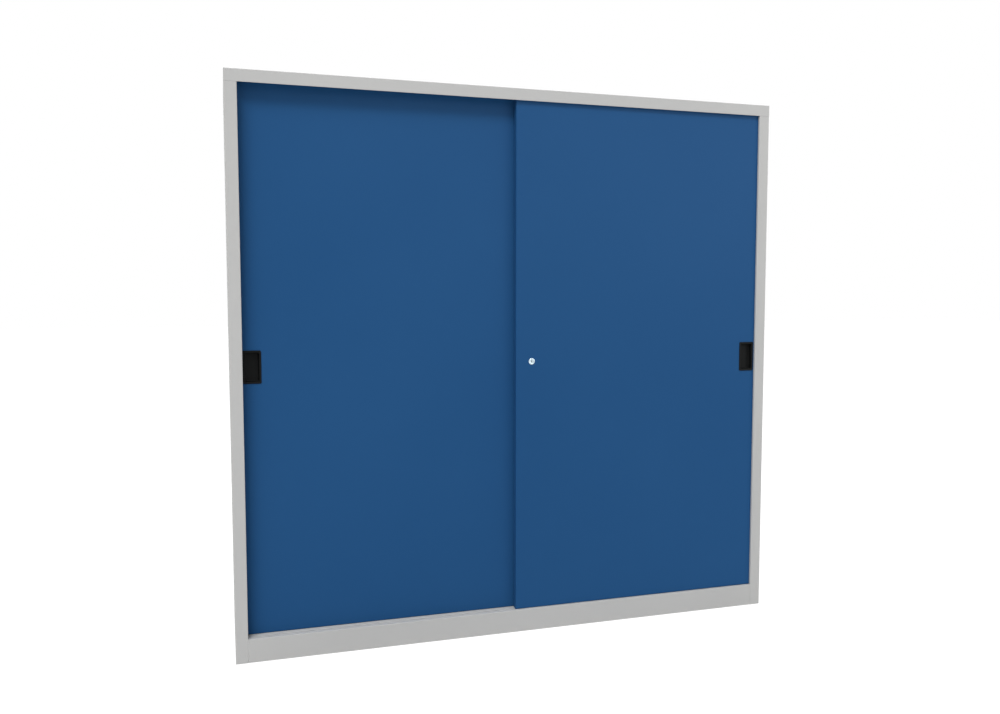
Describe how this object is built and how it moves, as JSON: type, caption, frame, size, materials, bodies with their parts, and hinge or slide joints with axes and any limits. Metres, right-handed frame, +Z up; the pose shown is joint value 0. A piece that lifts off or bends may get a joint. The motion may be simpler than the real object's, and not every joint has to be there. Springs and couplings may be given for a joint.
{
  "type": "sliding door cabinet",
  "caption": "Free-standing steel cupboard with overlapping sliding doors on rollers, shelved bays on both sides of a partition, flush finger grips and a push-in lock.",
  "frame": {"origin": "on the floor, under the middle of the cabinet's width and depth", "axes": "+X to the right of someone who faces the doors, +Y towards the back, +Z up"},
  "size_m": [2, 0.5, 1.95],
  "materials": {
    "frame_paint": "light grey powder coat, satin",
    "door_paint": "mid blue powder coat, satin",
    "black_plastic": "moulded, fine grain",
    "lock_chrome": "nickel plated, bright",
    "zinc_steel": "zinc plated",
    "nylon": "moulded, natural white",
    "black_rubber": "matt"
  },
  "bodies": {
    "carcass": {"side_panel_left": "frame_paint", "side_panel_right": "frame_paint", "top_panel": "frame_paint", "base_panel": "frame_paint", "back_panel_left": "frame_paint", "back_panel_right": "frame_paint", "centre_partition": "frame_paint", "upright_left_side_front": "frame_paint", "upright_left_side_rear": "frame_paint", "upright_left_partition_front": "frame_paint", "upright_left_partition_rear": "frame_paint", "upright_right_side_front": "frame_paint", "upright_right_side_rear": "frame_paint", "upright_right_partition_front": "frame_paint", "upright_right_partition_rear": "frame_paint", "shelf_left_1": "frame_paint", "shelf_left_2": "frame_paint", "shelf_left_3": "frame_paint", "shelf_left_4": "frame_paint", "shelf_right_1": "frame_paint", "shelf_right_2": "frame_paint", "shelf_right_3": "frame_paint", "shelf_right_4": "frame_paint", "guide_rail_front": "zinc_steel", "guide_rail_rear": "zinc_steel", "left_door_open_stop": "black_rubber", "right_door_open_stop": "black_rubber", "door_buffer_left": "black_rubber", "door_buffer_right": "black_rubber"},
    "left_door": {"left_door_panel": "door_paint", "left_door_grip": "black_plastic", "left_door_stiffener_1": "door_paint", "left_door_stiffener_2": "door_paint", "left_door_strike_plate": "zinc_steel", "left_door_guide_shoe_left": "nylon", "left_door_guide_shoe_right": "nylon", "left_door_roller_bracket_left": "zinc_steel", "left_door_roller_bracket_right": "zinc_steel", "left_door_axle_left": "zinc_steel", "left_door_axle_right": "zinc_steel"},
    "right_door": {"right_door_panel": "door_paint", "right_door_grip": "black_plastic", "right_door_stiffener_1": "door_paint", "right_door_stiffener_2": "door_paint", "right_door_guide_shoe_left": "nylon", "right_door_guide_shoe_right": "nylon", "right_door_roller_bracket_left": "zinc_steel", "right_door_roller_bracket_right": "zinc_steel", "right_door_axle_left": "zinc_steel", "right_door_axle_right": "zinc_steel", "lock_housing": "lock_chrome", "lock_nut": "zinc_steel"},
    "left_door_wheel_left": {"left_door_wheel_left": "nylon"},
    "left_door_wheel_right": {"left_door_wheel_right": "nylon"},
    "right_door_wheel_left": {"right_door_wheel_left": "nylon"},
    "right_door_wheel_right": {"right_door_wheel_right": "nylon"},
    "lock_plunger": {"lock_plunger": "lock_chrome"},
    "lock_plug": {"lock_plug": "lock_chrome"}
  },
  "joints": [
    {"name": "left_door_slide", "type": "slide", "parent": "carcass", "child": "left_door", "axis": [1, 0, 0], "range_m": [0, 0.85]},
    {"name": "right_door_slide", "type": "slide", "parent": "carcass", "child": "right_door", "axis": [1, 0, 0], "range_m": [-0.85, 0]},
    {"name": "left_door_wheel_left_spin", "type": "hinge", "parent": "left_door", "child": "left_door_wheel_left", "pos_m": [-0.8864, -0.193, 0.0873], "axis": [0, 1, 0], "continuous": true},
    {"name": "left_door_wheel_right_spin", "type": "hinge", "parent": "left_door", "child": "left_door_wheel_right", "pos_m": [-0.034, -0.193, 0.0873], "axis": [0, 1, 0], "continuous": true},
    {"name": "right_door_wheel_left_spin", "type": "hinge", "parent": "right_door", "child": "right_door_wheel_left", "pos_m": [0.084, -0.227, 0.0873], "axis": [0, 1, 0], "continuous": true},
    {"name": "right_door_wheel_right_spin", "type": "hinge", "parent": "right_door", "child": "right_door_wheel_right", "pos_m": [0.8864, -0.227, 0.0873], "axis": [0, 1, 0], "continuous": true},
    {"name": "lock_plunger_slide", "type": "slide", "parent": "right_door", "child": "lock_plunger", "axis": [0, -1, 0], "range_m": [0, 0.008]},
    {"name": "lock_plug_turn", "type": "hinge", "parent": "lock_plunger", "child": "lock_plug", "pos_m": [0.0427, -0.24, 0.989], "axis": [0, 1, 0], "range_deg": [0, 90]}
  ],
  "couplings": [
    {"joint": "left_door_wheel_left_spin", "follows": "left_door_slide", "rad_per_m": 83.333},
    {"joint": "left_door_wheel_right_spin", "follows": "left_door_slide", "rad_per_m": 83.333},
    {"joint": "right_door_wheel_left_spin", "follows": "right_door_slide", "rad_per_m": 83.333},
    {"joint": "right_door_wheel_right_spin", "follows": "right_door_slide", "rad_per_m": 83.333}
  ]
}
